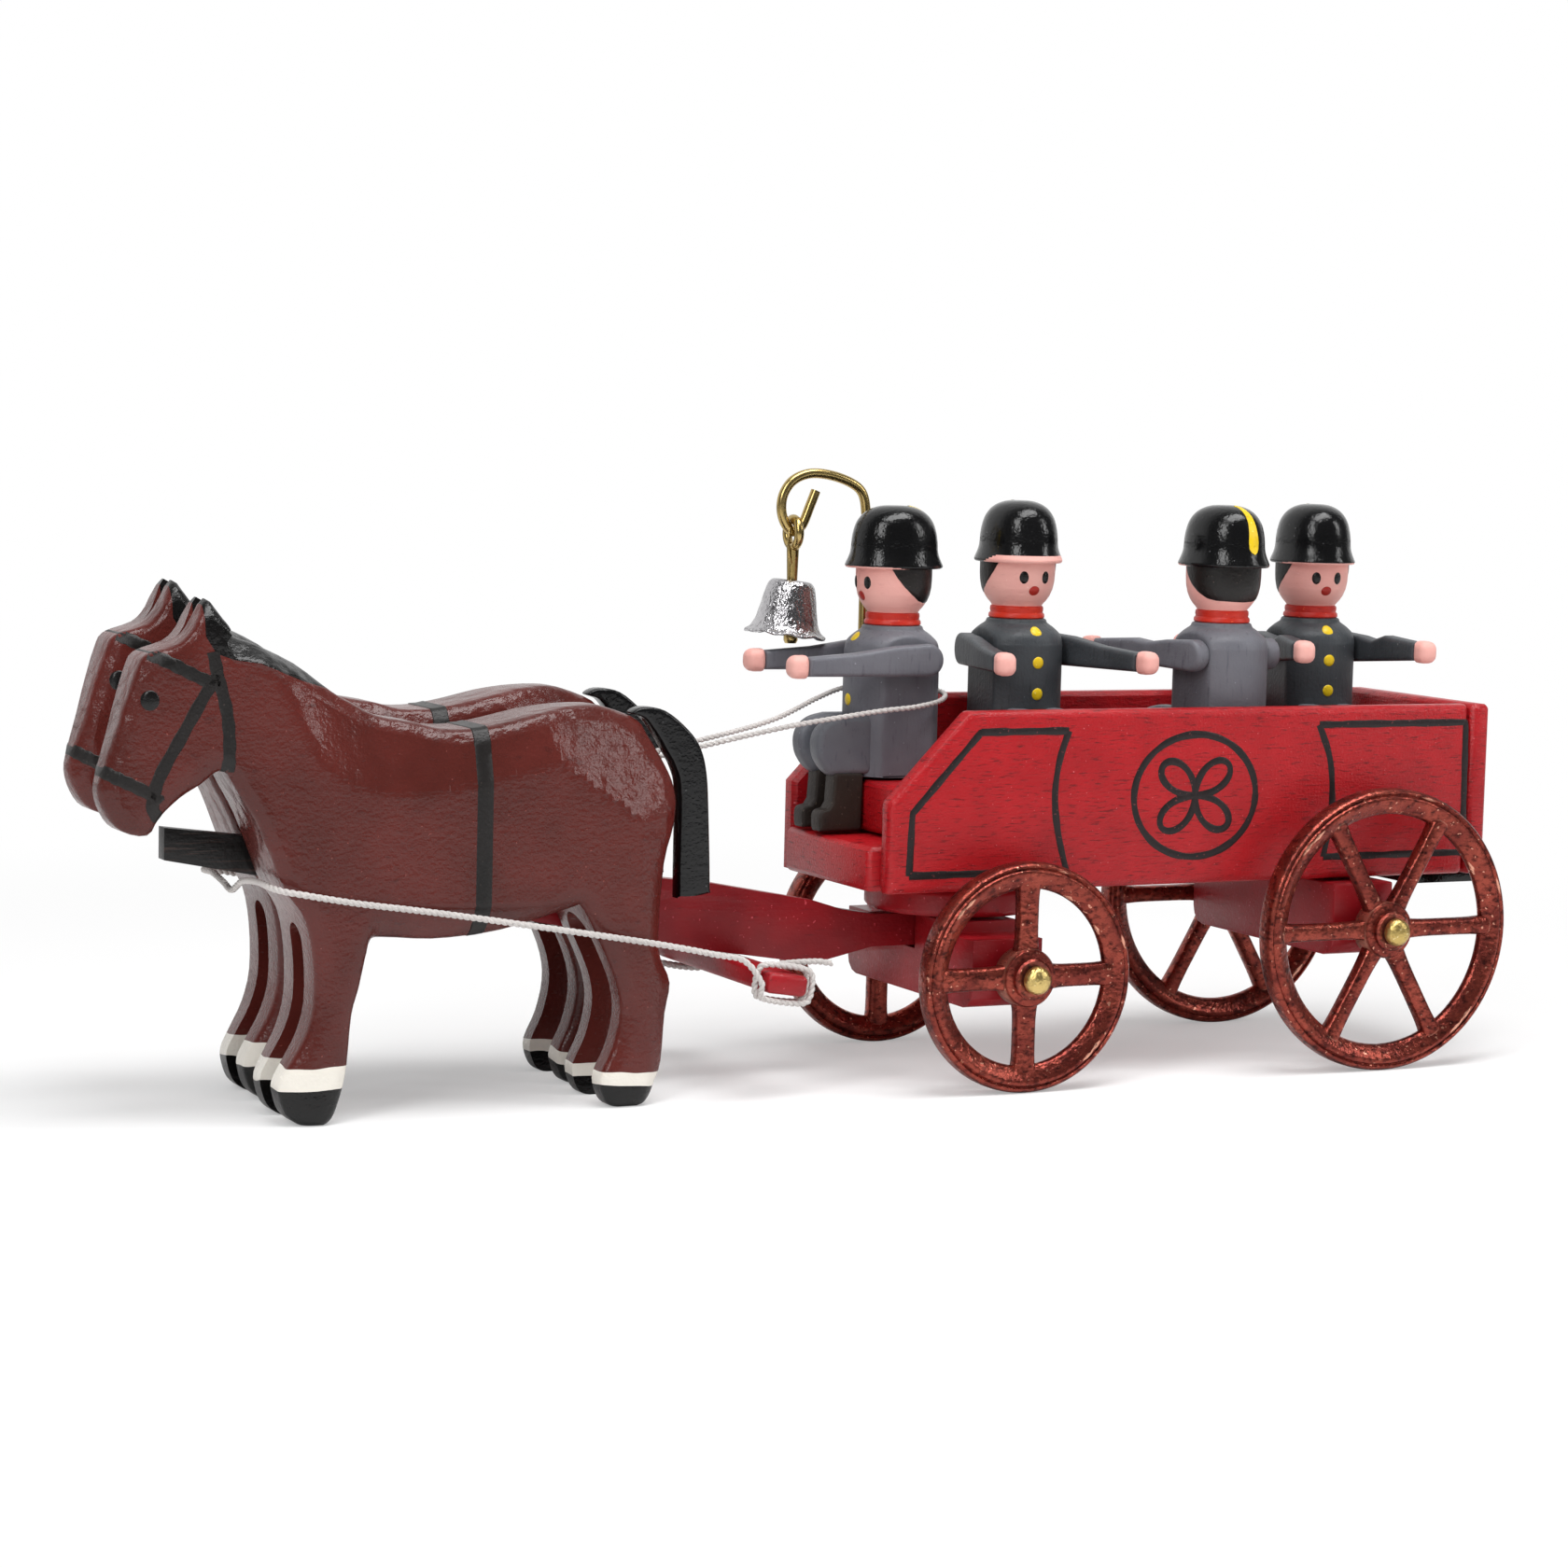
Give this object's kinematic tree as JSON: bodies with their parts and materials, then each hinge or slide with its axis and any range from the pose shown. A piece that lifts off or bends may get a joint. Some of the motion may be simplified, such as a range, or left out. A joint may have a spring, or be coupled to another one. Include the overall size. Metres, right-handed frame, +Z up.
{
  "type": "horse-drawn fire wagon model",
  "caption": "Painted wooden miniature fire wagon: horses on a steering pole draw an open wagon with a seated crew, spoked wheels and a bell on a wire hook.",
  "frame": {"origin": "middle of the footprint, on the ground that the hooves and wheels stand on", "axes": "+X from the horses to the tail of the wagon, +Y to the side that carries the bell, +Z up"},
  "size_m": [0.155, 0.0398, 0.0621],
  "materials": {
    "red_paint": "brushed gloss red paint on wood",
    "horse_paint": "gloss chestnut paint on carved wood",
    "black_paint": "gloss black paint on wood",
    "coat_paint": "satin grey paint on turned wood",
    "boot_paint": "matt dark brown paint on wood",
    "copper": "antiqued copper plating on cast metal",
    "brass": "bright brass",
    "silver": "bright silvery plating, a little hammered",
    "thread": "twisted white cotton thread",
    "plain_wood": "bare wood"
  },
  "bodies": {
    "wagon": {"side_board_near": "red_paint", "side_board_far": "red_paint", "floor_board": "red_paint", "rear_board": "red_paint", "driver_seat": "red_paint", "bench_near": "red_paint", "bench_far": "red_paint", "rear_step": "black_paint", "rear_bolster": "red_paint", "turntable_disc": "red_paint", "steering_pin": "brass", "rear_nail_near": "brass", "rear_nail_far": "brass", "bell_hook": "brass", "rein_thread": "thread", "driver_body": "coat_paint", "driver_helmet": "black_paint", "driver_legs": "boot_paint", "driver_right_arm": "coat_paint", "driver_left_arm": "coat_paint", "front_fireman_body": "coat_paint", "front_fireman_helmet": "black_paint", "front_fireman_legs": "boot_paint", "front_fireman_right_arm": "coat_paint", "front_fireman_left_arm": "coat_paint", "middle_fireman_body": "coat_paint", "middle_fireman_helmet": "black_paint", "middle_fireman_legs": "boot_paint", "middle_fireman_right_arm": "coat_paint", "middle_fireman_left_arm": "coat_paint", "rear_fireman_body": "coat_paint", "rear_fireman_helmet": "black_paint", "rear_fireman_legs": "boot_paint", "rear_fireman_right_arm": "coat_paint", "rear_fireman_left_arm": "coat_paint"},
    "front_carriage": {"front_bolster": "red_paint", "pole": "red_paint", "swingletree": "red_paint", "horse_peg_front": "plain_wood", "horse_peg_rear": "plain_wood", "horse_near": "horse_paint", "horse_far": "horse_paint", "tail_near": "black_paint", "tail_far": "black_paint", "front_nail_near": "brass", "front_nail_far": "brass", "trace_thread": "thread"},
    "front_wheel_near_body": {"front_wheel_near": "copper"},
    "front_wheel_far_body": {"front_wheel_far": "copper"},
    "rear_wheel_near_body": {"rear_wheel_near": "copper"},
    "rear_wheel_far_body": {"rear_wheel_far": "copper"},
    "bell": {"bell_cup": "silver", "bell_hanger": "brass", "bell_clapper": "brass"}
  },
  "joints": [
    {"name": "steer", "type": "hinge", "parent": "wagon", "child": "front_carriage", "pos_m": [0.0162, 0, 0.0165], "axis": [0, 0, 1], "range_deg": [-12, 12], "deforming": ["rein_thread"]},
    {"name": "front_near_spin", "type": "hinge", "parent": "front_carriage", "child": "front_wheel_near_body", "pos_m": [0.0162, -0.01625, 0.01175], "axis": [0, 1, 0], "continuous": true},
    {"name": "front_far_spin", "type": "hinge", "parent": "front_carriage", "child": "front_wheel_far_body", "pos_m": [0.0162, 0.01625, 0.01175], "axis": [0, 1, 0], "continuous": true},
    {"name": "rear_near_spin", "type": "hinge", "parent": "wagon", "child": "rear_wheel_near_body", "pos_m": [0.0596, -0.01625, 0.015], "axis": [0, 1, 0], "continuous": true},
    {"name": "rear_far_spin", "type": "hinge", "parent": "wagon", "child": "rear_wheel_far_body", "pos_m": [0.0596, 0.01625, 0.015], "axis": [0, 1, 0], "continuous": true},
    {"name": "bell_swing", "type": "hinge", "parent": "wagon", "child": "bell", "pos_m": [0.0022, 0.0111, 0.0555], "axis": [1, 0, 0], "range_deg": [-10, 45]}
  ]
}
